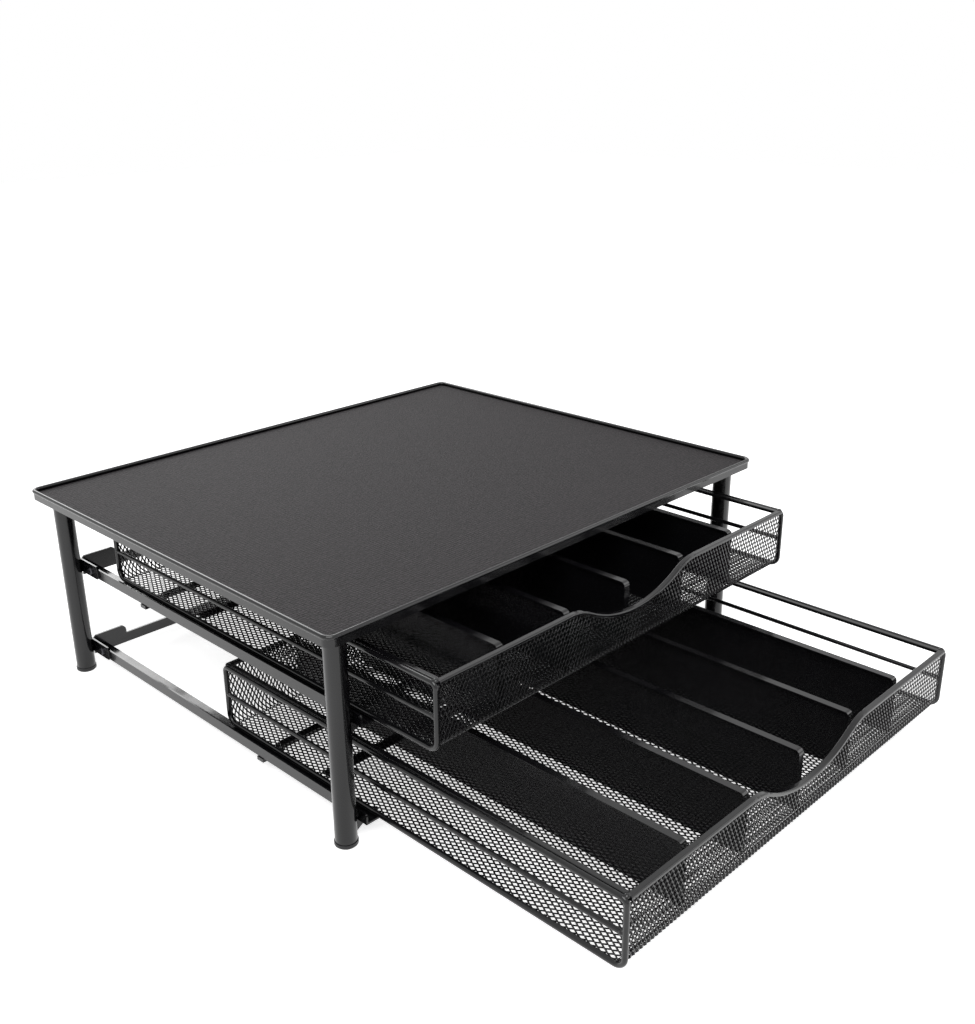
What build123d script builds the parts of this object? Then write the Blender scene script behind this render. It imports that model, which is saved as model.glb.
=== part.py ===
"""Two-tier coffee pod drawer rack in black powder-coated steel.

A tubular rack with a recessed platform on top carries two identical wire-and-mesh
drawers. Each drawer slides on a pair of angle rails and holds six columns of pods.
X is the width, -Y the front and Z is up. The drawers stand as they are used: the upper
one a little way out and the lower one about half way out. The origin is on the floor,
under the middle of the whole part as it stands.
"""

from build123d import *
from math import atan2, degrees, sin, cos, radians
import os

# ---- Rack ---------------------------------------------------------------------------
rack_width = 390.0
rack_depth = 326.0
rack_height = 139.0

# Platform: a rolled rim round a sheet-steel plate, with a mat laid on the plate
rim_height = 7.0
rim_wall = 1.4
rim_bead = 2.8
rim_corner_radius = 6.5
plate_lift = 1.6
plate_thickness = 0.9
mat_thickness = 1.7
mat_gap = 0.5
mat_corner_radius = 4.0

# Legs: round tube with a plastic cap below and a welded plug above
leg_diameter = 13.0
leg_wall = 1.2
leg_inset = 15.2
plug_length = 18.0
plug_gap = 0.15
cap_diameter = 13.8
cap_height = 3.0
cap_bevel = 1.0
cap_stem_length = 8.0

# Rails: angle profiles inside the legs
rail_sheet = 1.2
rail_height = 7.0
rail_leg_gap = 1.2
rail_front_setback = 6.0
rail_inner_margin = 0.6
lower_rail_z = 12.4
tier_spacing = 62.8

# Rear plates: flat strips with a taller stop tab at each end
rear_plate_thickness = 1.5
rear_strip_drop = 3.0
rear_strip_height = 7.5
rear_tab_height = 14.0
rear_tab_length = 26.0
rear_tab_rounding = 4.0
rear_notch_rounding = 2.0

# Brackets between rails and legs
rear_bracket_length = 31.0
rear_bracket_height = 9.6
rear_bracket_rounding = 2.5
front_bracket_reach = 17.0
front_bracket_drop = 8.2
front_bracket_thickness = 1.6

# Screws that hold the brackets
screw_head_diameter = 5.0
screw_head_height = 1.6
screw_head_bevel = 0.6
screw_shank_diameter = 2.8
screw_socket_width = 2.2
screw_socket_depth = 0.9
screw_setback = 9.0

# ---- Drawers ------------------------------------------------------------------------
drawer_height = 42.4
drawer_side_clearance = 5.9
drawer_front_overhang = 11.75
slide_clearance = 0.3
back_clearance = 0.8

wire_diameter = 3.2
wire_bend_radius = 6.0
wire_top_bend_radius = 3.0
mid_wire_diameter = 2.8
mid_wire_drop = 21.0
side_strip_width = 3.2
side_strip_thickness = 2.0
side_strip_drop = 0.3

rim_strip_depth = 3.8
rim_strip_thickness = 2.4
rim_strip_rounding = 0.8
scoop_half_width = 60.0
scoop_drop = 15.5
scoop_shoulder_radius = 36.0

mesh_thickness = 1.0
mesh_border = 4.0
mesh_cell_width = 40.0
mesh_cell_length = 26.0
mesh_strand = 3.0
wall_cell_width = 26.0
wall_cell_height = 12.0
wall_strand = 2.4

columns = 6
divider_sheet = 1.0
divider_flange = 4.6
divider_drop = 1.8
divider_front_gap = 8.0
divider_bend_radius = 3.0

stop_bar_width = 6.0
stop_bar_thickness = 2.4
stop_bar_setback = 46.0
stop_bar_reach = 11.5
stop_bar_shoulder = 3.0
brace_setback = 93.0
brace_width = 8.0

# How far each drawer stands out of its closed place
upper_pull = 34.2
lower_pull = 157.3

# ---- Places worked out from the sizes above -------------------------------------------
rim_foot_z = rack_height - rim_height
plate_under_z = rim_foot_z + plate_lift
plate_top_z = plate_under_z + plate_thickness
rim_line_inset = rim_bead / 2
plate_width = rack_width - 2 * (rim_line_inset + rim_wall / 2)
plate_depth = rack_depth - 2 * (rim_line_inset + rim_wall / 2)
leg_x = rack_width / 2 - leg_inset
leg_y = rack_depth / 2 - leg_inset
leg_bore = leg_diameter - 2 * leg_wall
rail_outer_x = leg_x - leg_diameter / 2 - rail_leg_gap
drawer_width = 2 * (rail_outer_x - rail_sheet - drawer_side_clearance)
wire_x = drawer_width / 2 - wire_diameter / 2
rail_inner_x = drawer_width / 2 - wire_diameter - rail_inner_margin
rear_plate_front_y = leg_y - rear_plate_thickness / 2
rail_front_y = -rack_depth / 2 + rail_front_setback
closed_back_y = rear_plate_front_y - back_clearance
closed_front_y = -rack_depth / 2 - drawer_front_overhang
drawer_depth = closed_back_y - closed_front_y
front_stop_y = -leg_y + front_bracket_thickness / 2
whole_middle_y = (rack_depth / 2 + closed_front_y - lower_pull) / 2
column_pitch = drawer_width / columns
panel_width = drawer_width - 2 * wire_diameter
scoop_slope = 2 * degrees(atan2(scoop_drop, scoop_half_width))
scoop_bowl_radius = scoop_half_width / sin(radians(scoop_slope)) - scoop_shoulder_radius

os.makedirs("parts", exist_ok=True)


def save(part, name):
    """Move a finished piece from the rack's own centre to the origin, label it and write it."""
    placed = part.moved(Location((0, -whole_middle_y, 0)))
    placed.label = name
    export_step(placed, f"parts/{name}.step")


# ---- Platform -------------------------------------------------------------------------
def make_top_rim():
    """Rolled rim: a thin upright wall with a round bead along its top."""
    half_x = rack_width / 2 - rim_line_inset
    half_y = rack_depth / 2 - rim_line_inset
    line_radius = rim_corner_radius - rim_line_inset
    bead_z = rack_height - rim_bead / 2
    with BuildPart() as rim:
        with BuildSketch(Plane.XY.offset(rim_foot_z)):
            RectangleRounded(2 * half_x + rim_wall, 2 * half_y + rim_wall, line_radius + rim_wall / 2)
            RectangleRounded(
                2 * half_x - rim_wall, 2 * half_y - rim_wall, line_radius - rim_wall / 2, mode=Mode.SUBTRACT
            )
        extrude(amount=bead_z - rim_foot_z)
        with BuildLine(Plane.XY.offset(bead_z)) as centre_line:
            FilletPolyline(
                (0, -half_y),
                (half_x, -half_y),
                (half_x, half_y),
                (-half_x, half_y),
                (-half_x, -half_y),
                (-half_x / 2, -half_y),
                radius=line_radius,
            )
            Line((-half_x / 2, -half_y), (0, -half_y))
        with BuildSketch(Plane(origin=(0, -half_y, bead_z), x_dir=(0, 1, 0), z_dir=(1, 0, 0))):
            Circle(rim_bead / 2)
        sweep(path=centre_line.wire())
    return rim.part


def make_top_plate():
    """Flat sheet inside the rim."""
    with BuildPart() as plate:
        with BuildSketch(Plane.XY.offset(plate_under_z)):
            RectangleRounded(plate_width, plate_depth, rim_corner_radius - rim_line_inset - rim_wall / 2)
        extrude(amount=plate_thickness)
    return plate.part


def make_top_mat():
    """Thin non-slip mat laid on the plate, a little smaller than the rim's opening."""
    mat_inset = rim_bead + mat_gap
    with BuildPart() as mat:
        with BuildSketch(Plane.XY.offset(plate_top_z)):
            RectangleRounded(rack_width - 2 * mat_inset, rack_depth - 2 * mat_inset, mat_corner_radius)
        extrude(amount=mat_thickness)
    return mat.part


save(make_top_rim(), "top_rim")
save(make_top_plate(), "top_plate")
save(make_top_mat(), "top_mat")


# ---- Legs -----------------------------------------------------------------------------
def make_leg(x, y):
    """Open round tube from the foot cap up to the platform plate."""
    with BuildPart() as leg:
        with BuildSketch(Plane(origin=(x, y, cap_height))):
            Circle(leg_diameter / 2)
            Circle(leg_bore / 2, mode=Mode.SUBTRACT)
        extrude(amount=plate_under_z - cap_height)
    return leg.part


def make_foot_cap(x, y):
    """Plastic cap with a bevelled underside and a stem that plugs into the tube."""
    with BuildPart() as cap:
        with BuildSketch(Plane(origin=(x, y, 0))):
            Circle(cap_diameter / 2)
        extrude(amount=cap_height)
        chamfer(cap.edges().group_by(Axis.Z)[0], length=cap_bevel)
        with BuildSketch(Plane(origin=(x, y, cap_height))):
            Circle(leg_bore / 2 - plug_gap)
        extrude(amount=cap_stem_length)
        chamfer(cap.edges().group_by(Axis.Z)[-1], length=leg_wall)
    return cap.part


def make_leg_plugs():
    """Four plugs under the plate that the leg tubes slip over."""
    with BuildPart() as plugs:
        with BuildSketch(Plane.XY.offset(plate_under_z)):
            with GridLocations(2 * leg_x, 2 * leg_y, 2, 2):
                Circle(leg_bore / 2 - plug_gap)
        extrude(amount=-plug_length)
        chamfer(plugs.edges().group_by(Axis.Z)[0], length=leg_wall)
    return plugs.part


for end, y in (("front", -leg_y), ("rear", leg_y)):
    for side, x in (("left", -leg_x), ("right", leg_x)):
        save(make_leg(x, y), f"leg_{end}_{side}")
        save(make_foot_cap(x, y), f"foot_cap_{end}_{side}")
save(make_leg_plugs(), "leg_plugs")


# ---- Rails and what holds them ----------------------------------------------------------
def make_rail(side, rail_z):
    """Angle rail: an upright outer wall and a ledge that carries the drawer's side wire."""
    outer = side * rail_outer_x
    inner = side * rail_inner_x
    with BuildPart() as rail:
        with BuildSketch(Plane.XZ.offset(-rail_front_y)):
            with BuildLine():
                Polyline(
                    (outer, rail_z),
                    (inner, rail_z),
                    (inner, rail_z + rail_sheet),
                    (outer - side * rail_sheet, rail_z + rail_sheet),
                    (outer - side * rail_sheet, rail_z + rail_height),
                    (outer, rail_z + rail_height),
                    close=True,
                )
            make_face()
        extrude(amount=-(rear_plate_front_y - rail_front_y))
        wall_ends = rail.edges().filter_by(Axis.X).group_by(Axis.Z)[-1]
        fillet(wall_ends, radius=rail_height / 3)
    return rail.part


def make_rear_plate(rail_z):
    """Cross strip between the rails, with a taller rounded tab at each end as a drawer stop."""
    half = rail_outer_x
    tab_in = half - rear_tab_length
    low = rail_z - rear_strip_drop
    with BuildPart() as plate:
        with BuildSketch(Plane.XZ.offset(-rear_plate_front_y)) as outline:
            with BuildLine():
                Polyline(
                    (-half, low),
                    (half, low),
                    (half, low + rear_tab_height),
                    (tab_in, low + rear_tab_height),
                    (tab_in, low + rear_strip_height),
                    (-tab_in, low + rear_strip_height),
                    (-tab_in, low + rear_tab_height),
                    (-half, low + rear_tab_height),
                    close=True,
                )
            make_face()
            corners = outline.vertices().group_by(Axis.Y)
            fillet(corners[-1], radius=rear_tab_rounding)
            fillet(corners[1], radius=rear_notch_rounding)
        extrude(amount=-rear_plate_thickness)
    return plate.part


def make_rear_brackets(rail_z):
    """Pair of flat blocks that stand the rails off the rear legs, each with a screw hole."""
    front_y = leg_y + leg_diameter / 2 - rear_bracket_length
    middle_y = front_y + rear_bracket_length / 2
    middle_z = rail_z + rear_bracket_height / 2
    with BuildPart() as brackets:
        for side in (-1, 1):
            face = Plane(origin=(side * rail_outer_x, middle_y, middle_z), x_dir=(0, 1, 0), z_dir=(side, 0, 0))
            with BuildSketch(face):
                RectangleRounded(rear_bracket_length, rear_bracket_height, rear_bracket_rounding)
                with Locations((-rear_bracket_length / 2 + screw_setback, 0)):
                    Circle(screw_shank_diameter / 2, mode=Mode.SUBTRACT)
            extrude(amount=rail_leg_gap)
    return brackets.part


def make_front_brackets(rail_z):
    """Pair of curved gussets under the front ends of the rails. They stop the pegs of the stop bar."""
    with BuildPart() as brackets:
        for side in (-1, 1):
            outer = side * (leg_x - leg_diameter / 2)
            inner = outer - side * front_bracket_reach
            with BuildSketch(Plane.XZ.offset(-front_stop_y)):
                with BuildLine():
                    Line((outer, rail_z - front_bracket_drop), (outer, rail_z))
                    Line((outer, rail_z), (inner, rail_z))
                    Line((inner, rail_z), (inner, rail_z - front_bracket_thickness))
                    sag = (
                        outer - side * 0.35 * front_bracket_reach,
                        rail_z - 0.55 * front_bracket_drop,
                    )
                    ThreePointArc(
                        (inner, rail_z - front_bracket_thickness), sag, (outer, rail_z - front_bracket_drop)
                    )
                make_face()
            extrude(amount=front_bracket_thickness)
    return brackets.part


def make_bracket_screws(rail_z):
    """Bevelled socket-head screws through the rear brackets."""
    screw_y = leg_y + leg_diameter / 2 - rear_bracket_length + screw_setback
    screw_z = rail_z + rear_bracket_height / 2
    with BuildPart() as screws:
        for side in (-1, 1):
            under_head = Plane(
                origin=(side * (rail_outer_x + rail_leg_gap), screw_y, screw_z), x_dir=(0, 1, 0), z_dir=(side, 0, 0)
            )
            with BuildSketch(under_head):
                Circle(screw_head_diameter / 2)
            extrude(amount=screw_head_height)
            with BuildSketch(under_head):
                Circle(screw_shank_diameter / 2 - plug_gap)
            extrude(amount=-rail_leg_gap)
            with BuildSketch(under_head.offset(screw_head_height)):
                RegularPolygon(screw_socket_width / 2, 6)
            extrude(amount=-screw_socket_depth, mode=Mode.SUBTRACT)
        circles = screws.edges().filter_by(GeomType.CIRCLE).group_by(SortBy.RADIUS)[-1].sort_by(Axis.X)
        chamfer([circles[0], circles[-1]], length=screw_head_bevel)
    return screws.part


for level, rail_z in (("upper", lower_rail_z + tier_spacing), ("lower", lower_rail_z)):
    save(make_rail(-1, rail_z), f"{level}_rail_left")
    save(make_rail(1, rail_z), f"{level}_rail_right")
    save(make_rear_plate(rail_z), f"{level}_rear_plate")
    save(make_rear_brackets(rail_z), f"{level}_rear_brackets")
    save(make_front_brackets(rail_z), f"{level}_front_brackets")
    save(make_bracket_screws(rail_z), f"{level}_bracket_screws")


# ---- Drawers ----------------------------------------------------------------------------
# Each maker takes the drawer's front face, front_y, and the underside of its wires, base_z.
def make_side_wire(side, front_y, base_z):
    """Round wire bent into a closed loop round one open side."""
    near = front_y + wire_diameter / 2
    far = front_y + drawer_depth - wire_diameter / 2
    middle = (near + far) / 2
    low = base_z + wire_diameter / 2
    top = base_z + drawer_height - wire_diameter / 2
    bends = [wire_top_bend_radius, wire_bend_radius, wire_bend_radius, wire_top_bend_radius]
    with BuildPart() as wire:
        with BuildLine(Plane(origin=(side * wire_x, 0, 0), x_dir=(0, 1, 0), z_dir=(1, 0, 0))) as loop:
            FilletPolyline(
                (middle, top),
                (near, top),
                (near, low),
                (far, low),
                (far, top),
                ((middle + far) / 2, top),
                radius=bends,
            )
            Line(((middle + far) / 2, top), (middle, top))
        with BuildSketch(Plane(origin=(side * wire_x, middle, top), x_dir=(1, 0, 0), z_dir=(0, 1, 0))):
            Circle(wire_diameter / 2)
        sweep(path=loop.wire())
    return wire.part


def make_mid_wire(side, front_y, base_z):
    """Thinner rail between the two uprights, coped to fit round them."""
    near = front_y + wire_diameter / 2
    far = front_y + drawer_depth - wire_diameter / 2
    height = base_z + drawer_height - mid_wire_drop
    upright_length = 4 * mid_wire_diameter
    with BuildPart() as wire:
        with BuildSketch(Plane(origin=(side * wire_x, near, height), x_dir=(1, 0, 0), z_dir=(0, 1, 0))):
            Circle(mid_wire_diameter / 2)
        extrude(amount=far - near)
        with BuildSketch(Plane.XY.offset(height - upright_length / 2)):
            with Locations((side * wire_x, near), (side * wire_x, far)):
                Circle(wire_diameter / 2)
        extrude(amount=upright_length, mode=Mode.SUBTRACT)
    return wire.part


def make_side_strip(side, front_y, base_z):
    """Flat strip inside the top run of one side wire, between the front and rear rims."""
    middle_x = side * (panel_width - side_strip_width) / 2
    length = drawer_depth - 2 * rim_strip_depth
    with BuildPart() as strip:
        with BuildSketch(Plane.XY.offset(base_z + drawer_height - side_strip_drop)):
            with Locations((middle_x, front_y + drawer_depth / 2)):
                Rectangle(side_strip_width, length)
        extrude(amount=-side_strip_thickness)
        fillet(strip.edges().filter_by(Axis.Y).group_by(Axis.Z)[-1], radius=side_strip_thickness / 4)
    return strip.part


def scoop_line(top_z):
    """Front rim's line from left to right, dipping in the middle through tangent arcs."""
    left = Line((-panel_width / 2, top_z), (-scoop_half_width, top_z))
    fall = JernArc(left @ 1, left % 1, scoop_shoulder_radius, -scoop_slope)
    bowl = JernArc(fall @ 1, fall % 1, scoop_bowl_radius, 2 * scoop_slope)
    rise = JernArc(bowl @ 1, bowl % 1, scoop_shoulder_radius, -scoop_slope)
    Line(rise @ 1, (panel_width / 2, top_z))


def make_front_rim(front_y, base_z):
    """Folded rim along the top of the front, with a curved finger scoop in its middle."""
    with BuildPart() as rim:
        with BuildSketch(Plane.XZ.offset(-front_y)):
            with BuildLine():
                scoop_line(base_z + drawer_height - rim_strip_thickness / 2)
            trace(line_width=rim_strip_thickness)
        extrude(amount=-rim_strip_depth)
        faces = rim.faces().sort_by(Axis.Y)
        long_edges = (faces[0].edges() + faces[-1].edges()).filter_by(Axis.Z, reverse=True)
        fillet(long_edges, radius=rim_strip_rounding)
    return rim.part


def make_back_rim(front_y, base_z):
    """Straight folded rim along the top of the back."""
    back_y = front_y + drawer_depth
    with BuildPart() as rim:
        with BuildSketch(Plane.XZ.offset(-back_y)):
            with Locations((0, base_z + drawer_height - rim_strip_thickness / 2)):
                Rectangle(panel_width, rim_strip_thickness)
        extrude(amount=rim_strip_depth)
        faces = rim.faces().sort_by(Axis.Y)
        long_edges = (faces[0].edges() + faces[-1].edges()).filter_by(Axis.Z, reverse=True)
        fillet(long_edges, radius=rim_strip_rounding)
    return rim.part


def cut_cells(width, height, cell_width, cell_height, strand):
    """Staggered diamond openings of expanded mesh, inside a plain border of a sheet this big."""
    across = int((width - 2 * mesh_border) // cell_width)
    along = int((height - 2 * mesh_border) // cell_height)
    slant = atan2(cell_height, cell_width)
    half_x = cell_width / 2 - strand / (2 * sin(slant))
    half_y = cell_height / 2 - strand / (2 * cos(slant))
    corners = ((half_x, 0), (0, half_y), (-half_x, 0), (0, -half_y))
    for columns_here, rows_here in ((across, along), (across - 1, along - 1)):
        if min(columns_here, rows_here) > 0:
            with GridLocations(cell_width, cell_height, columns_here, rows_here):
                Polygon(*corners, mode=Mode.SUBTRACT)


def make_floor_mesh(front_y, base_z):
    """Flat expanded-mesh floor between the bends of the walls, drawn with coarse cells."""
    length = drawer_depth - wire_diameter - 2 * wire_bend_radius
    bottom = base_z + (wire_diameter - mesh_thickness) / 2
    with BuildPart() as floor:
        with BuildSketch(Plane(origin=(0, front_y + drawer_depth / 2, bottom))):
            Rectangle(panel_width, length)
            cut_cells(panel_width, length, mesh_cell_width, mesh_cell_length, mesh_strand)
        extrude(amount=mesh_thickness)
    return floor.part


def make_wall_mesh(outer_y, inward, base_z):
    """Expanded-mesh wall under a rim. Its foot bends into the floor along the side wires' own bends."""
    upright_y = outer_y + inward * wire_diameter / 2
    bend_top_z = base_z + wire_diameter / 2 + wire_bend_radius
    height = base_z + drawer_height - rim_strip_thickness - bend_top_z
    middle_z = bend_top_z + height / 2
    with BuildPart() as panel:
        with BuildSketch(Plane(origin=(0, upright_y, middle_z), x_dir=(1, 0, 0), z_dir=(0, -1, 0))):
            Rectangle(panel_width, height)
            cut_cells(panel_width, height, wall_cell_width, wall_cell_height, wall_strand)
        extrude(amount=mesh_thickness / 2, both=True)
        with BuildSketch(Plane(origin=(-panel_width / 2, 0, 0), x_dir=(0, 1, 0), z_dir=(1, 0, 0))):
            with BuildLine():
                JernArc((upright_y, bend_top_z), (0, -1), wire_bend_radius, inward * 90)
            trace(line_width=mesh_thickness)
        extrude(amount=panel_width)
    return panel.part


def make_front_mesh(front_y, base_z):
    """Front wall of the mesh, cut out below the finger scoop."""
    rim_middle = base_z + drawer_height - rim_strip_thickness / 2
    clear_z = rim_middle + scoop_drop
    with BuildPart() as panel:
        add(make_wall_mesh(front_y, 1, base_z))
        with BuildSketch(Plane.XZ.offset(-front_y)):
            with BuildLine():
                scoop_line(rim_middle)
                Polyline(
                    (-panel_width / 2, rim_middle),
                    (-panel_width / 2, clear_z),
                    (panel_width / 2, clear_z),
                    (panel_width / 2, rim_middle),
                )
            make_face()
            with BuildLine():
                scoop_line(rim_middle)
            trace(line_width=rim_strip_thickness)
        extrude(amount=-wire_diameter, mode=Mode.SUBTRACT)
    return panel.part


def make_back_mesh(front_y, base_z):
    """Back wall of the mesh under the straight rim."""
    return make_wall_mesh(front_y + drawer_depth, -1, base_z)


def make_divider(number, front_y, base_z):
    """Sheet divider: an upright web with a flange folded along its top and down its front end."""
    x = (number - columns / 2) * column_pitch
    near = front_y + divider_front_gap
    far = front_y + drawer_depth - rim_strip_depth
    floor_top = base_z + (wire_diameter + mesh_thickness) / 2
    top = base_z + drawer_height - divider_drop
    with BuildPart() as divider:
        with BuildSketch(Plane(origin=(x, 0, 0), x_dir=(0, 1, 0), z_dir=(1, 0, 0))) as web:
            with BuildLine():
                Polyline((near, floor_top), (near, top), (far, top), (far, floor_top), close=True)
            make_face()
            fillet(web.vertices().sort_by(Axis.Y)[:2].sort_by(Axis.X)[-1], radius=wire_bend_radius)
            fillet(web.vertices().sort_by(Axis.Y)[-2:].sort_by(Axis.X)[0], radius=divider_bend_radius)
        extrude(amount=divider_sheet / 2, both=True)
        with BuildSketch(Plane(origin=(x, 0, 0), x_dir=(0, 1, 0), z_dir=(1, 0, 0))):
            with BuildLine():
                FilletPolyline((near, floor_top), (near, top), (far, top), radius=divider_bend_radius)
                FilletPolyline(
                    (near + divider_sheet, floor_top),
                    (near + divider_sheet, top - divider_sheet),
                    (far, top - divider_sheet),
                    radius=divider_bend_radius - divider_sheet,
                )
                Line((near, floor_top), (near + divider_sheet, floor_top))
                Line((far, top), (far, top - divider_sheet))
            make_face()
        extrude(amount=divider_flange / 2, both=True)
    return divider.part


def make_stop_bar(front_y, base_z):
    """Flat bar under the floor. Its lowered ends run under the rails, so the drawer can't tip or fall out."""
    middle_y = front_y + drawer_depth - stop_bar_setback
    floor_under = base_z + (wire_diameter - mesh_thickness) / 2
    high = floor_under - stop_bar_thickness / 2
    low = base_z - slide_clearance - rail_sheet - slide_clearance - stop_bar_thickness / 2
    bend_x = rail_inner_x - stop_bar_thickness
    end_x = rail_inner_x + stop_bar_reach
    with BuildPart() as bar:
        with BuildSketch(Plane.XZ.offset(-(middle_y - stop_bar_width / 2))):
            with BuildLine():
                Polyline(
                    (-end_x, low),
                    (-bend_x, low),
                    (-bend_x + stop_bar_shoulder, high),
                    (bend_x - stop_bar_shoulder, high),
                    (bend_x, low),
                    (end_x, low),
                )
            trace(line_width=stop_bar_thickness)
        extrude(amount=-stop_bar_width)
    return bar.part


def make_brace(front_y, base_z):
    """Flat cross strip that stiffens the floor mesh from below."""
    middle_y = front_y + drawer_depth - brace_setback
    floor_under = base_z + (wire_diameter - mesh_thickness) / 2
    with BuildPart() as brace:
        with BuildSketch(Plane.XY.offset(floor_under)):
            with Locations((0, middle_y)):
                Rectangle(2 * rail_inner_x - 2 * stop_bar_thickness, brace_width)
        extrude(amount=-mesh_thickness)
    return brace.part


tiers = (("upper", lower_rail_z + tier_spacing, upper_pull), ("lower", lower_rail_z, lower_pull))
for level, rail_z, pull in tiers:
    front_y = closed_front_y - pull
    base_z = rail_z + rail_sheet + slide_clearance
    for side, sign in (("left", -1), ("right", 1)):
        save(make_side_wire(sign, front_y, base_z), f"{level}_drawer_wire_{side}")
        save(make_mid_wire(sign, front_y, base_z), f"{level}_drawer_mid_wire_{side}")
        save(make_side_strip(sign, front_y, base_z), f"{level}_drawer_strip_{side}")
    save(make_front_rim(front_y, base_z), f"{level}_drawer_front_rim")
    save(make_back_rim(front_y, base_z), f"{level}_drawer_back_rim")
    save(make_floor_mesh(front_y, base_z), f"{level}_drawer_floor_mesh")
    save(make_front_mesh(front_y, base_z), f"{level}_drawer_front_mesh")
    save(make_back_mesh(front_y, base_z), f"{level}_drawer_back_mesh")
    for number in range(1, columns):
        save(make_divider(number, front_y, base_z), f"{level}_drawer_divider_{number}")
    save(make_stop_bar(front_y, base_z), f"{level}_drawer_stop_bar")
    save(make_brace(front_y, base_z), f"{level}_drawer_floor_brace")
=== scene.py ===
"""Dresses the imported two-tier coffee pod drawer rack: its finishes, expanded-mesh panels and weld beads.

The frame gives every size and place. Lengths are in metres.
"""

from math import atan2, cos, pi, radians, sin

import bmesh
import bpy
from mathutils import Matrix, Vector
from mathutils.bvhtree import BVHTree


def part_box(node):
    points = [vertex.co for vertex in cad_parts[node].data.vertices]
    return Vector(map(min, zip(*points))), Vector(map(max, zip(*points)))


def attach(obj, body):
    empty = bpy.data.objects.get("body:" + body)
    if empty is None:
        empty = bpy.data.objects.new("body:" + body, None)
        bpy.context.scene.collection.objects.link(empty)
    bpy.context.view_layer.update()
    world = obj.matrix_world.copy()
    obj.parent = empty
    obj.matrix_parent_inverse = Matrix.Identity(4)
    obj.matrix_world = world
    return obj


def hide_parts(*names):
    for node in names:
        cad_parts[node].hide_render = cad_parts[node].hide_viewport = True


bl_info = {
    "name": "Coffee Pod Drawer",
    "version": (1, 0, 0),
    "blender": (4, 5, 0),
    "location": "View3D > Sidebar > Pod Drawer",
    "description": "Finishes, expanded-mesh panels and welds of a two-tier coffee pod drawer rack",
    "category": "Object",
}

MM = 0.001
LEVELS = ("upper", "lower")
SIDES = ("left", "right")
UP = Vector((0, 0, 1))
# A bend sharper than this shows as an edge
CREASE_ANGLE = radians(32)
# Corners of the mesh nearer than this are one
PRESSED_FLAT = 0.02 * MM
# Noise textures mostly give values between these
NOISE_RANGE = (0.3, 0.7)
# Roughness of the powder coat, from which it varies a little either way
COAT_ROUGHNESS = 0.17

# Radii of the weld beads across, along and up, as shares of half the weld's width
MIDDLE_BEAD = (0.8, 0.9, 0.95)
CORNER_BEAD = (0.9, 0.9, 0.6)
# Ripples on a weld bead: their depth as a share of its radius, their waves in radians per metre
# across and up it, and how far a metre along or across the drawer shifts them
RIPPLE_DEPTH = 0.06
RIPPLE_WAVES = (3100, 2700)
RIPPLE_SHIFTS = (50, 70)

FLOOR_WIDTH = 8.0
# The floor lies this far below the feet, so that the two don't flicker
FLOOR_DROP = 0.05 * MM
SENSOR_WIDTH = 36.0
NEAREST_SEEN = 10 * MM
# Each softbox's place, the point that it faces and its width
SOFTBOXES = {
    "key": ((-0.75, -0.55, 1.35), (0, 0, 0.08), 1.1),
    "fill": ((1.05, -0.95, 0.75), (0, -0.05, 0.06), 0.8),
    "rim": ((0.35, 1.25, 0.95), (0, 0, 0.1), 0.9),
}

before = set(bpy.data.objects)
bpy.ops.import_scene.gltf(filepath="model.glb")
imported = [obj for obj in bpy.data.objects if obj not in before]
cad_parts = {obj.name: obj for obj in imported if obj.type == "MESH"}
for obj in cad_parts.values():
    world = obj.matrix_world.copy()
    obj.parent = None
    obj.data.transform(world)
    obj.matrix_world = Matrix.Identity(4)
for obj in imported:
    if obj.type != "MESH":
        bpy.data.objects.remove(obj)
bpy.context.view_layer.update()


# ---- Sizes and colours that a user would change -------------------------------------------
class PodDrawerMesh(bpy.types.PropertyGroup):
    """Sizes of the expanded-metal mesh."""

    cell_width: bpy.props.FloatProperty(
        name="Cell width",
        description="Width of one diamond, across the drawer",
        default=3.0 * MM,
        unit="LENGTH",
        subtype="DISTANCE",
    )
    cell_length: bpy.props.FloatProperty(
        name="Cell length",
        description="Length of one diamond, from front to back on the floor and upright on the walls",
        default=6.2 * MM,
        unit="LENGTH",
        subtype="DISTANCE",
    )
    strand_width: bpy.props.FloatProperty(
        name="Strand width",
        description="Width of the metal between two neighbouring diamonds",
        default=0.85 * MM,
        unit="LENGTH",
        subtype="DISTANCE",
    )
    sheet_thickness: bpy.props.FloatProperty(
        name="Sheet thickness",
        description="Thickness of the slit and stretched sheet",
        default=0.5 * MM,
        unit="LENGTH",
        subtype="DISTANCE",
    )
    strand_tilt: bpy.props.FloatProperty(
        name="Strand tilt",
        description="How far the stretching turns a strand's edge out of the sheet",
        default=0.3 * MM,
        unit="LENGTH",
        subtype="DISTANCE",
    )


class PodDrawerFinish(bpy.types.PropertyGroup):
    """Colours of the finishes, as sRGB hex values, and the width of the welds."""

    coat: bpy.props.StringProperty(
        name="Powder coat",
        description="Black of the rack and the drawers",
        default="#0D0D0F",
    )
    mat: bpy.props.StringProperty(
        name="Mat",
        description="Warm dark grey of the top mat",
        default="#332E31",
    )
    cap: bpy.props.StringProperty(
        name="Foot caps",
        description="Black of the foot caps",
        default="#0F0F11",
    )
    screw: bpy.props.StringProperty(
        name="Screws",
        description="Blackened steel of the bracket screws",
        default="#4A4A4E",
    )
    weld_width: bpy.props.FloatProperty(
        name="Weld width",
        description="Width of a weld bead where two wires meet",
        default=4.0 * MM,
        unit="LENGTH",
        subtype="DISTANCE",
    )


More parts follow.
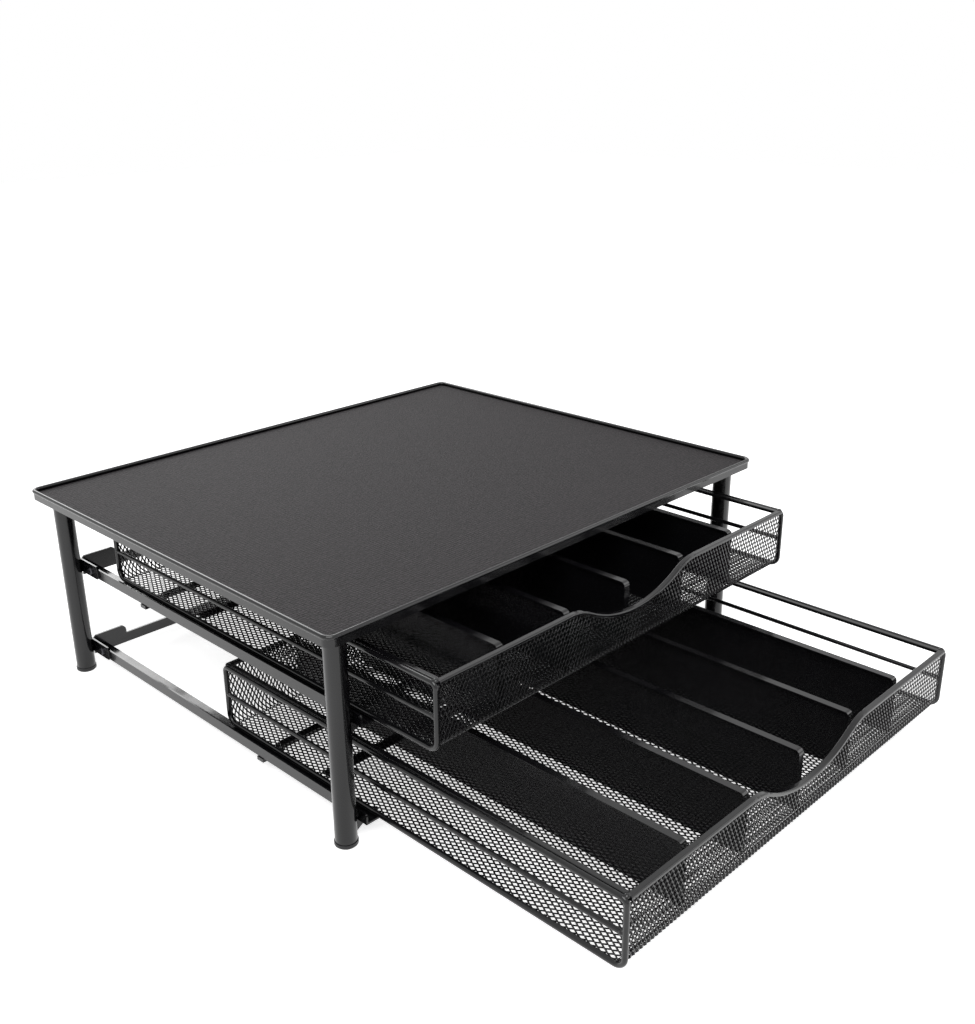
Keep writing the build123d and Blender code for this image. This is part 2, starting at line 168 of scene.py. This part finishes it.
class PodDrawerStage(bpy.types.PropertyGroup):
    """The camera, the lamps and the floor."""

    camera_place: bpy.props.FloatVectorProperty(
        name="Camera place",
        description="Where the camera stands",
        default=(-0.5106, -0.5007, 0.4068),
        unit="LENGTH",
        subtype="TRANSLATION",
    )
    camera_aim: bpy.props.FloatVectorProperty(
        name="Camera aim",
        description="Point in the middle of the picture",
        default=(-0.0441, -0.0434, 0.1553),
        unit="LENGTH",
        subtype="TRANSLATION",
    )
    camera_roll: bpy.props.FloatProperty(
        name="Camera roll",
        description="Turn of the camera about its own line of sight",
        default=radians(-0.58),
        unit="ROTATION",
        subtype="ANGLE",
    )
    lens: bpy.props.FloatProperty(
        name="Lens",
        description="Focal length in millimetres on a 36 mm sensor",
        default=40.94,
    )
    key_power: bpy.props.FloatProperty(
        name="Key power",
        description="Power of the large lamp overhead on the left, in watts",
        default=16.0,
    )
    fill_power: bpy.props.FloatProperty(
        name="Fill power",
        description="Power of the lamp on the right, in watts",
        default=3.0,
    )
    rim_power: bpy.props.FloatProperty(
        name="Rim power",
        description="Power of the lamp behind the rack, in watts",
        default=10.0,
    )
    world_strength: bpy.props.FloatProperty(
        name="World strength",
        description="Strength of the even light from all round",
        default=0.3,
    )


# ---- Materials ------------------------------------------------------------------------------
def linear(hex_colour):
    """An sRGB hex value as the linear colour that a shader takes."""
    channels = [int(hex_colour[i : i + 2], 16) / 255 for i in (1, 3, 5)]
    return [c / 12.92 if c <= 0.04045 else ((c + 0.055) / 1.055) ** 2.4 for c in channels] + [1.0]


def add_node(tree, kind, settings=None, links=None):
    """One new node, with its attributes or input values set, and its inputs linked to sockets."""
    node = tree.nodes.new(kind)
    for name, value in (settings or {}).items():
        if name in node.inputs:
            node.inputs[name].default_value = value
        else:
            setattr(node, name, value)
    for name, socket in (links or {}).items():
        tree.links.new(socket, node.inputs[name])
    return node


def new_material(name):
    """An empty node material with its output, and the tree that it grows in."""
    material = bpy.data.materials.new(name)
    material.use_nodes = True
    tree = material.node_tree
    tree.nodes.clear()
    return material, tree, add_node(tree, "ShaderNodeOutputMaterial")


def object_place(tree):
    """Where a point lies on the object, in metres."""
    return add_node(tree, "ShaderNodeTexCoord").outputs["Object"]


def shade_variation(tree, place, colour, spread, grain):
    """The colour, a little darker and lighter in soft patches as wide as the grain."""
    noise = add_node(
        tree,
        "ShaderNodeTexNoise",
        {"Scale": 1 / grain, "Detail": 3.0, "Roughness": 0.6},
        {"Vector": place},
    )
    ramp = add_node(tree, "ShaderNodeValToRGB", links={"Fac": noise.outputs["Fac"]})
    stops = ramp.color_ramp.elements
    for stop, position, share in zip(stops, NOISE_RANGE, (1 - spread, 1 + spread)):
        stop.position = position
        stop.color = [min(1.0, c * share) for c in colour[:3]] + [1.0]
    return ramp.outputs["Color"]


def powder_coated_steel(name, hex_colour, roughness):
    """Mild steel under baked polyester powder.

    The coat flows into a fine orange peel, about 1 mm from crest to crest. It gives black
    edges a soft, slightly broken highlight.
    """
    material, tree, output = new_material(name)
    place = object_place(tree)
    peel = add_node(
        tree,
        "ShaderNodeTexNoise",
        {"Scale": 1 / (1.1 * MM), "Detail": 2.0, "Roughness": 0.5},
        {"Vector": place},
    )
    flow = add_node(tree, "ShaderNodeTexNoise", {"Scale": 1 / (14 * MM)}, {"Vector": place})
    low, high = NOISE_RANGE
    gloss = add_node(
        tree,
        "ShaderNodeMapRange",
        {"From Min": low, "From Max": high, "To Min": roughness - 0.04, "To Max": roughness + 0.06},
        {"Value": flow.outputs["Fac"]},
    )
    bump = add_node(
        tree,
        "ShaderNodeBump",
        {"Strength": 0.12, "Distance": 0.05 * MM},
        {"Height": peel.outputs["Fac"]},
    )
    shader = add_node(
        tree,
        "ShaderNodeBsdfPrincipled",
        {"IOR": 1.5, "Specular IOR Level": 0.4, "Coat Weight": 0.2, "Coat Roughness": 0.06},
        {
            "Base Color": shade_variation(tree, place, linear(hex_colour), 0.12, 30 * MM),
            "Roughness": gloss.outputs["Result"],
            "Normal": bump.outputs["Normal"],
        },
    )
    tree.links.new(shader.outputs["BSDF"], output.inputs["Surface"])
    return material


def embossed_vinyl(name, hex_colour):
    """Non-slip vinyl mat with a fine embossed grain.

    The pimples stand 2.2 mm apart, with painted shade darkening the valleys between them. They
    make the sheet look dull and a little coarse.
    """
    material, tree, output = new_material(name)
    place = object_place(tree)
    pitch = 2.2 * MM
    pimples = add_node(
        tree,
        "ShaderNodeTexVoronoi",
        {"Scale": 1 / pitch, "Randomness": 0.3},
        {"Vector": place},
    )
    grain = add_node(
        tree, "ShaderNodeTexNoise", {"Scale": 1 / (0.9 * MM), "Detail": 2.0}, {"Vector": place}
    )
    height = add_node(
        tree,
        "ShaderNodeMath",
        {"operation": "SUBTRACT"},
        {0: grain.outputs["Fac"], 1: pimples.outputs["Distance"]},
    )
    bump = add_node(
        tree,
        "ShaderNodeBump",
        {"Strength": 0.9, "Distance": 0.7 * MM},
        {"Height": height.outputs["Value"]},
    )
    # Painted shade: the colour darkens away from each pimple's centre, into the valleys between them
    valley_shade = add_node(
        tree,
        "ShaderNodeMapRange",
        {"From Min": 0.1, "From Max": 0.65},
        {"Value": pimples.outputs["Distance"]},
    )
    shaded = add_node(
        tree,
        "ShaderNodeMixRGB",
        {"blend_type": "MULTIPLY", "Color2": (0.12, 0.12, 0.12, 1.0)},
        {
            "Fac": valley_shade.outputs["Result"],
            "Color1": shade_variation(tree, place, linear(hex_colour), 0.35, pitch),
        },
    )
    shader = add_node(
        tree,
        "ShaderNodeBsdfPrincipled",
        {"IOR": 1.5, "Roughness": 0.72, "Specular IOR Level": 0.3},
        {"Base Color": shaded.outputs["Color"], "Normal": bump.outputs["Normal"]},
    )
    tree.links.new(shader.outputs["BSDF"], output.inputs["Surface"])
    return material


def moulded_polyethylene(name, hex_colour):
    """Injection-moulded polyethylene, waxy and faintly mottled where the mould was textured."""
    material, tree, output = new_material(name)
    place = object_place(tree)
    mottle = add_node(
        tree, "ShaderNodeTexNoise", {"Scale": 1 / (0.5 * MM), "Detail": 2.0}, {"Vector": place}
    )
    bump = add_node(
        tree,
        "ShaderNodeBump",
        {"Strength": 0.2, "Distance": 0.05 * MM},
        {"Height": mottle.outputs["Fac"]},
    )
    shader = add_node(
        tree,
        "ShaderNodeBsdfPrincipled",
        {"IOR": 1.51, "Roughness": 0.5},
        {
            "Base Color": shade_variation(tree, place, linear(hex_colour), 0.15, 4 * MM),
            "Normal": bump.outputs["Normal"],
        },
    )
    tree.links.new(shader.outputs["BSDF"], output.inputs["Surface"])
    return material


def blackened_steel(name, hex_colour):
    """Turned steel under black oxide, with faint tool marks that break up the highlights."""
    material, tree, output = new_material(name)
    place = object_place(tree)
    marks = add_node(
        tree, "ShaderNodeTexNoise", {"Scale": 1 / (0.6 * MM), "Detail": 4.0}, {"Vector": place}
    )
    rough = add_node(
        tree, "ShaderNodeMapRange", {"To Min": 0.22, "To Max": 0.42}, {"Value": marks.outputs["Fac"]}
    )
    shader = add_node(
        tree,
        "ShaderNodeBsdfPrincipled",
        {"Metallic": 1.0},
        {
            "Base Color": shade_variation(tree, place, linear(hex_colour), 0.08, 2 * MM),
            "Roughness": rough.outputs["Result"],
        },
    )
    tree.links.new(shader.outputs["BSDF"], output.inputs["Surface"])
    return material


def finish_named(name, maker, *values):
    """The material of that name, made the first time that it is asked for."""
    return bpy.data.materials.get(name) or maker(name, *values)


def coat_material(finish):
    """The black coat that every steel piece but the screws wears."""
    return finish_named(
        "black_powder_coated_steel", powder_coated_steel, finish.coat, COAT_ROUGHNESS
    )


# ---- Building blocks ------------------------------------------------------------------------
def add_piece(name, mesh, material, body):
    """A new object of the part, in place, finished and riding on its body."""
    piece = bpy.data.objects.new(name, mesh)
    bpy.context.scene.collection.objects.link(piece)
    piece.data.materials.append(material)
    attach(piece, body)
    return piece


def stretched_lattice(span, cell, strand, tilt):
    """Points and faces of a sheet of diamonds over a rectangle, as (across, along, out) triples.

    span is (low across, low along, high across, high along) and cell the (width, height) of a
    diamond. Each diamond is a ring of four quads round its hole. One side of the hole stands out
    of the sheet and the other in, as slitting and stretching leave them.
    """
    low_u, low_v, high_u, high_v = span
    width, height = cell
    slant = atan2(height, width)
    outer = ((width / 2, 0), (0, height / 2), (-width / 2, 0), (0, -height / 2))
    hole_u = width / 2 - strand / (2 * sin(slant))
    hole_v = height / 2 - strand / (2 * cos(slant))
    hole = ((hole_u, 0, tilt), (0, hole_v, 0), (-hole_u, 0, -tilt), (0, -hole_v, 0))
    across = int((high_u - low_u) / width) + 2
    along = int((high_v - low_v) / height) + 2
    middle_u = (low_u + high_u) / 2
    points, faces, shared = [], [], {}

    def point(u, v, out):
        u = min(max(u, low_u), high_u)
        v = min(max(v, low_v), high_v)
        key = (round(u / MM, 3), round(v / MM, 3), round(out / MM, 3))
        if key not in shared:
            shared[key] = len(points)
            points.append((u, v, out))
        return shared[key]

    for half_u in range(-across, across + 1):
        for half_v in range(2 * along + 1):
            if (half_u + half_v) % 2:
                continue
            u = middle_u + half_u * width / 2
            v = low_v + half_v * height / 2
            if not (low_u - width / 2 < u < high_u + width / 2 and v < high_v + height / 2):
                continue
            rim = [point(u + du, v + dv, 0) for du, dv in outer]
            gap = [point(u + du, v + dv, out) for du, dv, out in hole]
            for a in range(4):
                b = (a + 1) % 4
                faces.append((rim[a], rim[b], gap[b], gap[a]))
    return points, faces


def panel_mesh(name, points, faces):
    """A mesh of the points and faces, with the ones that the sheet's edge pressed flat taken out."""
    solid_faces = [face for face in faces if len(set(face)) > 2]
    mesh = bpy.data.meshes.new(name)
    builder = bmesh.new()
    corners = [builder.verts.new(point) for point in points]
    for face in solid_faces:
        loop = list(dict.fromkeys(face))
        try:
            builder.faces.new([corners[i] for i in loop])
        except ValueError:
            # The sheet's edge pressed this face onto one that is there already
            continue
    bmesh.ops.dissolve_degenerate(builder, dist=PRESSED_FLAT, edges=builder.edges)
    loose = [vert for vert in builder.verts if not vert.link_faces]
    bmesh.ops.delete(builder, geom=loose, context="VERTS")
    bmesh.ops.recalc_face_normals(builder, faces=builder.faces)
    builder.to_mesh(mesh)
    builder.free()
    return mesh


def add_sheet(name, points, faces, thickness, coat, level, node):
    """A sheet of expanded metal that stands for a node of a drawer, with half its thickness each side."""
    piece = add_piece(name, panel_mesh(name, points, faces), coat, f"{level}_drawer")
    solidify = piece.modifiers.new("sheet", "SOLIDIFY")
    solidify.thickness = thickness
    solidify.offset = 0.0
    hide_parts(node)


def undersides(node):
    """A function that gives the height at which a rising line meets the node, at any (x, y)."""
    tree = BVHTree.FromObject(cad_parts[node], bpy.context.evaluated_depsgraph_get())
    low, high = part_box(node)

    def height(x, y, start):
        hit = tree.ray_cast(Vector((x, y, start)), UP)[0]
        return hit.z if hit else high.z

    return height


# ---- Pieces ---------------------------------------------------------------------------------
class PODDRAWER_OT_finishes(bpy.types.Operator):
    """Finish every piece that keeps its own shape"""

    bl_idname = "poddrawer.finishes"
    bl_label = "Finish the rack and drawers"

    def execute(self, context):
        finish = context.scene.pod_drawer_finish
        coat = coat_material(finish)
        special = {
            "top_mat": finish_named("embossed_vinyl", embossed_vinyl, finish.mat),
            "foot_cap": finish_named("moulded_polyethylene", moulded_polyethylene, finish.cap),
            "bracket_screws": finish_named("blackened_steel", blackened_steel, finish.screw),
        }
        for name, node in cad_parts.items():
            material = next((look for kind, look in special.items() if kind in name), coat)
            node.data.materials.clear()
            node.data.materials.append(material)
            node.data.polygons.foreach_set("use_smooth", [True] * len(node.data.polygons))
            split = node.modifiers.new("crisp_edges", "EDGE_SPLIT")
            split.split_angle = CREASE_ANGLE
        return {"FINISHED"}


class PODDRAWER_OT_wall_panels(bpy.types.Operator):
    """Build the expanded-mesh front and back of each drawer, with the bend down to the floor"""

    bl_idname = "poddrawer.wall_panels"
    bl_label = "Build front and back mesh"

    def execute(self, context):
        sizes = context.scene.pod_drawer_mesh
        coat = coat_material(context.scene.pod_drawer_finish)
        cell = (sizes.cell_width, sizes.cell_length)
        for level in LEVELS:
            floor_low, floor_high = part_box(f"{level}_drawer_floor_mesh")
            half_sheet = (floor_high.z - floor_low.z) / 2
            for end, inward in (("front", 1), ("back", -1)):
                node = f"{level}_drawer_{end}_mesh"
                low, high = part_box(node)
                bend = high.y - low.y - half_sheet
                upright_y = low.y + half_sheet if inward > 0 else high.y - half_sheet
                centre = Vector((0, upright_y + inward * bend, low.z + half_sheet + bend))
                turn = bend * pi / 2
                ceiling = undersides(f"{level}_drawer_{end}_rim")
                span = (low.x, 0, high.x, turn + high.z - centre.z)
                points, faces = stretched_lattice(span, cell, sizes.strand_width, sizes.strand_tilt)
                placed = []
                for x, run, out in points:
                    angle = min(run / bend, pi / 2)
                    place = centre + Vector((0, -inward * sin(angle), -cos(angle))) * (bend + out)
                    place.x = x
                    place.z = min(place.z + max(0, run - turn), ceiling(x, upright_y, centre.z))
                    placed.append(place)
                add_sheet(
                    f"{node}_stretched", placed, faces, sizes.sheet_thickness, coat, level, node
                )
        return {"FINISHED"}


class PODDRAWER_OT_floor_panels(bpy.types.Operator):
    """Build the expanded-mesh floor of each drawer, as a left and a right half"""

    bl_idname = "poddrawer.floor_panels"
    bl_label = "Build floor mesh"

    def execute(self, context):
        sizes = context.scene.pod_drawer_mesh
        coat = coat_material(context.scene.pod_drawer_finish)
        cell = (sizes.cell_width, sizes.cell_length)
        for level in LEVELS:
            node = f"{level}_drawer_floor_mesh"
            low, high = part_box(node)
            middle_z = (low.z + high.z) / 2
            span = (low.x, low.y, high.x, high.y)
            points, faces = stretched_lattice(span, cell, sizes.strand_width, sizes.strand_tilt)
            placed = [Vector((x, y, middle_z + out)) for x, y, out in points]
            for side in SIDES:
                on_left = side == "left"
                half = [face for face in faces if (sum(points[i][0] for i in face) < 0) == on_left]
                add_sheet(
                    f"{node}_{side}_stretched", placed, half, sizes.sheet_thickness, coat, level, node
                )
        return {"FINISHED"}


class PODDRAWER_OT_welds(bpy.types.Operator):
    """Add the coated weld beads where wires, rims and strips meet"""

    bl_idname = "poddrawer.welds"
    bl_label = "Add weld beads"

    def execute(self, context):
        finish = context.scene.pod_drawer_finish
        coat = coat_material(finish)
        radius = finish.weld_width / 2
        for level in LEVELS:
            builder = bmesh.new()
            for side in SIDES:
                inward = 1 if side == "left" else -1
                wire_low, wire_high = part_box(f"{level}_drawer_wire_{side}")
                mid_low, mid_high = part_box(f"{level}_drawer_mid_wire_{side}")
                thick = mid_high.x - mid_low.x
                x = (wire_low.x + wire_high.x) / 2
                mid_z = (mid_low.z + mid_high.z) / 2
                for end_y, into in ((wire_low.y, 1), (wire_high.y, -1)):
                    # Where the middle wire meets the upright
                    middle = Vector((x, end_y + into * (thick + radius / 2), mid_z))
                    self.add_bead(builder, middle, MIDDLE_BEAD, radius)
                    # Where the rim meets the wire's top corner, a little sunk
                    corner = Vector(
                        (x + inward * thick / 2, end_y + into * thick, wire_high.z - radius / 4)
                    )
                    self.add_bead(builder, corner, CORNER_BEAD, radius)
            mesh = bpy.data.meshes.new(f"{level}_weld_beads")
            for face in builder.faces:
                face.smooth = True
            builder.to_mesh(mesh)
            builder.free()
            add_piece(f"{level}_drawer_weld_beads", mesh, coat, f"{level}_drawer")
        return {"FINISHED"}

    def add_bead(self, builder, centre, shares, radius):
        """One lump of weld, an uneven ball whose three radii are shares of the radius.

        Its place shifts its ripples, so that no two beads are alike.
        """
        shape = Matrix.Translation(centre) @ Matrix.Diagonal((*(s * radius for s in shares), 1.0))
        made = bmesh.ops.create_icosphere(builder, subdivisions=3, radius=1.0, matrix=shape)
        wave_across, wave_up = RIPPLE_WAVES
        shift_along, shift_across = RIPPLE_SHIFTS
        for vert in made["verts"]:
            offset = vert.co - centre
            across = sin(offset.x * wave_across + centre.y * shift_along)
            up = sin(offset.z * wave_up + centre.x * shift_across)
            vert.co = centre + offset * (1 + RIPPLE_DEPTH * across * up)


# ---- Stage ----------------------------------------------------------------------------------
def looked_at(tree):
    """One for the rays that see a background: the camera's own, mirrored and refracted ones."""
    path = add_node(tree, "ShaderNodeLightPath").outputs
    indirect = add_node(
        tree,
        "ShaderNodeMath",
        {"operation": "MAXIMUM"},
        {0: path["Is Glossy Ray"], 1: path["Is Transmission Ray"]},
    )
    seen = add_node(
        tree,
        "ShaderNodeMath",
        {"operation": "MAXIMUM"},
        {0: path["Is Camera Ray"], 1: indirect.outputs["Value"]},
    )
    return seen.outputs["Value"]


def seamless_paper(name):
    """Matt white studio paper, brightened where it is looked at, so that only the shadow shows."""
    material, tree, output = new_material(name)
    fibres = add_node(
        tree, "ShaderNodeTexNoise", {"Scale": 1 / (9 * MM), "Detail": 2.0}, {"Vector": object_place(tree)}
    )
    tone = add_node(
        tree, "ShaderNodeMapRange", {"To Min": 0.86, "To Max": 0.9}, {"Value": fibres.outputs["Fac"]}
    )
    paper = add_node(
        tree, "ShaderNodeBsdfDiffuse", {"Roughness": 1.0}, {"Color": tone.outputs["Result"]}
    )
    glow = add_node(tree, "ShaderNodeEmission", {"Color": (1, 1, 1, 1), "Strength": 0.76})
    lit = add_node(
        tree, "ShaderNodeAddShader", links={0: paper.outputs["BSDF"], 1: glow.outputs["Emission"]}
    )
    seen = add_node(
        tree,
        "ShaderNodeMixShader",
        links={0: looked_at(tree), 1: paper.outputs["BSDF"], 2: lit.outputs["Shader"]},
    )
    tree.links.new(seen.outputs["Shader"], output.inputs["Surface"])
    return material


class PODDRAWER_OT_stage(bpy.types.Operator):
    """Set the floor, the camera, the lamps and the world"""

    bl_idname = "poddrawer.stage"
    bl_label = "Set the stage"

    def execute(self, context):
        stage = context.scene.pod_drawer_stage
        self.lay_floor(context)
        self.set_camera(context, stage)
        for name, (place, aim, width) in SOFTBOXES.items():
            power = getattr(stage, f"{name}_power")
            self.light(context, f"{name}_softbox", place, aim, width, power)
        self.fill_world(context, stage)
        context.scene.view_settings.view_transform = "Standard"
        return {"FINISHED"}

    def lay_floor(self, context):
        """A wide sheet of paper under the feet."""
        half = FLOOR_WIDTH / 2
        mesh = bpy.data.meshes.new("paper_floor")
        corners = [(-half, -half, 0), (half, -half, 0), (half, half, 0), (-half, half, 0)]
        mesh.from_pydata(corners, [], [(0, 1, 2, 3)])
        floor = bpy.data.objects.new("paper_floor", mesh)
        floor.location.z = -FLOOR_DROP
        context.scene.collection.objects.link(floor)
        mesh.materials.append(seamless_paper("seamless_paper"))

    def set_camera(self, context, stage):
        """The camera, to the front left of the rack and above it."""
        data = bpy.data.cameras.new("camera")
        camera = bpy.data.objects.new("camera", data)
        context.scene.collection.objects.link(camera)
        data.lens = stage.lens
        data.sensor_width = SENSOR_WIDTH
        data.clip_start = NEAREST_SEEN
        place = Vector(stage.camera_place)
        line = Vector(stage.camera_aim) - place
        turn = line.to_track_quat("-Z", "Y").to_matrix().to_4x4()
        roll = Matrix.Rotation(stage.camera_roll, 4, "Z")
        camera.matrix_world = Matrix.Translation(place) @ turn @ roll
        context.scene.camera = camera

    def light(self, context, name, place, aim, width, power):
        """A square softbox at a place, turned to what it lights."""
        data = bpy.data.lights.new(name, "AREA")
        data.shape = "SQUARE"
        data.size = width
        data.energy = power
        lamp = bpy.data.objects.new(name, data)
        lamp.location = place
        lamp.rotation_euler = (Vector(aim) - Vector(place)).to_track_quat("-Z", "Y").to_euler()
        context.scene.collection.objects.link(lamp)

    def fill_world(self, context, stage):
        """Even light from all round, which the camera and shiny coats see as plain white."""
        world = bpy.data.worlds.new("studio")
        world.use_nodes = True
        tree = world.node_tree
        tree.nodes.clear()
        air = add_node(
            tree, "ShaderNodeBackground", {"Color": (1, 1, 1, 1), "Strength": stage.world_strength}
        )
        white = add_node(tree, "ShaderNodeBackground", {"Color": (1, 1, 1, 1), "Strength": 1.0})
        seen = add_node(
            tree,
            "ShaderNodeMixShader",
            links={0: looked_at(tree), 1: air.outputs["Background"], 2: white.outputs["Background"]},
        )
        output = add_node(tree, "ShaderNodeOutputWorld")
        tree.links.new(seen.outputs["Shader"], output.inputs["Surface"])
        context.scene.world = world


# ---- Panel and registration -----------------------------------------------------------------
OPERATORS = (
    PODDRAWER_OT_finishes,
    PODDRAWER_OT_wall_panels,
    PODDRAWER_OT_floor_panels,
    PODDRAWER_OT_welds,
    PODDRAWER_OT_stage,
)
GROUPS = {
    "pod_drawer_mesh": PodDrawerMesh,
    "pod_drawer_finish": PodDrawerFinish,
    "pod_drawer_stage": PodDrawerStage,
}


class PODDRAWER_PT_panel(bpy.types.Panel):
    """Lists the pieces of the pod drawer and their sizes"""

    bl_idname = "PODDRAWER_PT_panel"
    bl_label = "Coffee Pod Drawer"
    bl_space_type = "VIEW_3D"
    bl_region_type = "UI"
    bl_category = "Pod Drawer"

    def draw(self, context):
        for group, kind in GROUPS.items():
            box = self.layout.box()
            for name in kind.__annotations__:
                box.prop(getattr(context.scene, group), name)
        for operator in OPERATORS:
            self.layout.operator(operator.bl_idname)


def register():
    for kind in (*GROUPS.values(), *OPERATORS, PODDRAWER_PT_panel):
        bpy.utils.register_class(kind)
    for name, kind in GROUPS.items():
        setattr(bpy.types.Scene, name, bpy.props.PointerProperty(type=kind))


def unregister():
    for name in GROUPS:
        delattr(bpy.types.Scene, name)
    for kind in reversed((*GROUPS.values(), *OPERATORS, PODDRAWER_PT_panel)):
        bpy.utils.unregister_class(kind)


def main():
    register()
    bpy.ops.poddrawer.finishes()
    bpy.ops.poddrawer.wall_panels()
    bpy.ops.poddrawer.floor_panels()
    bpy.ops.poddrawer.welds()
    bpy.ops.poddrawer.stage()


if __name__ == "__main__":
    main()
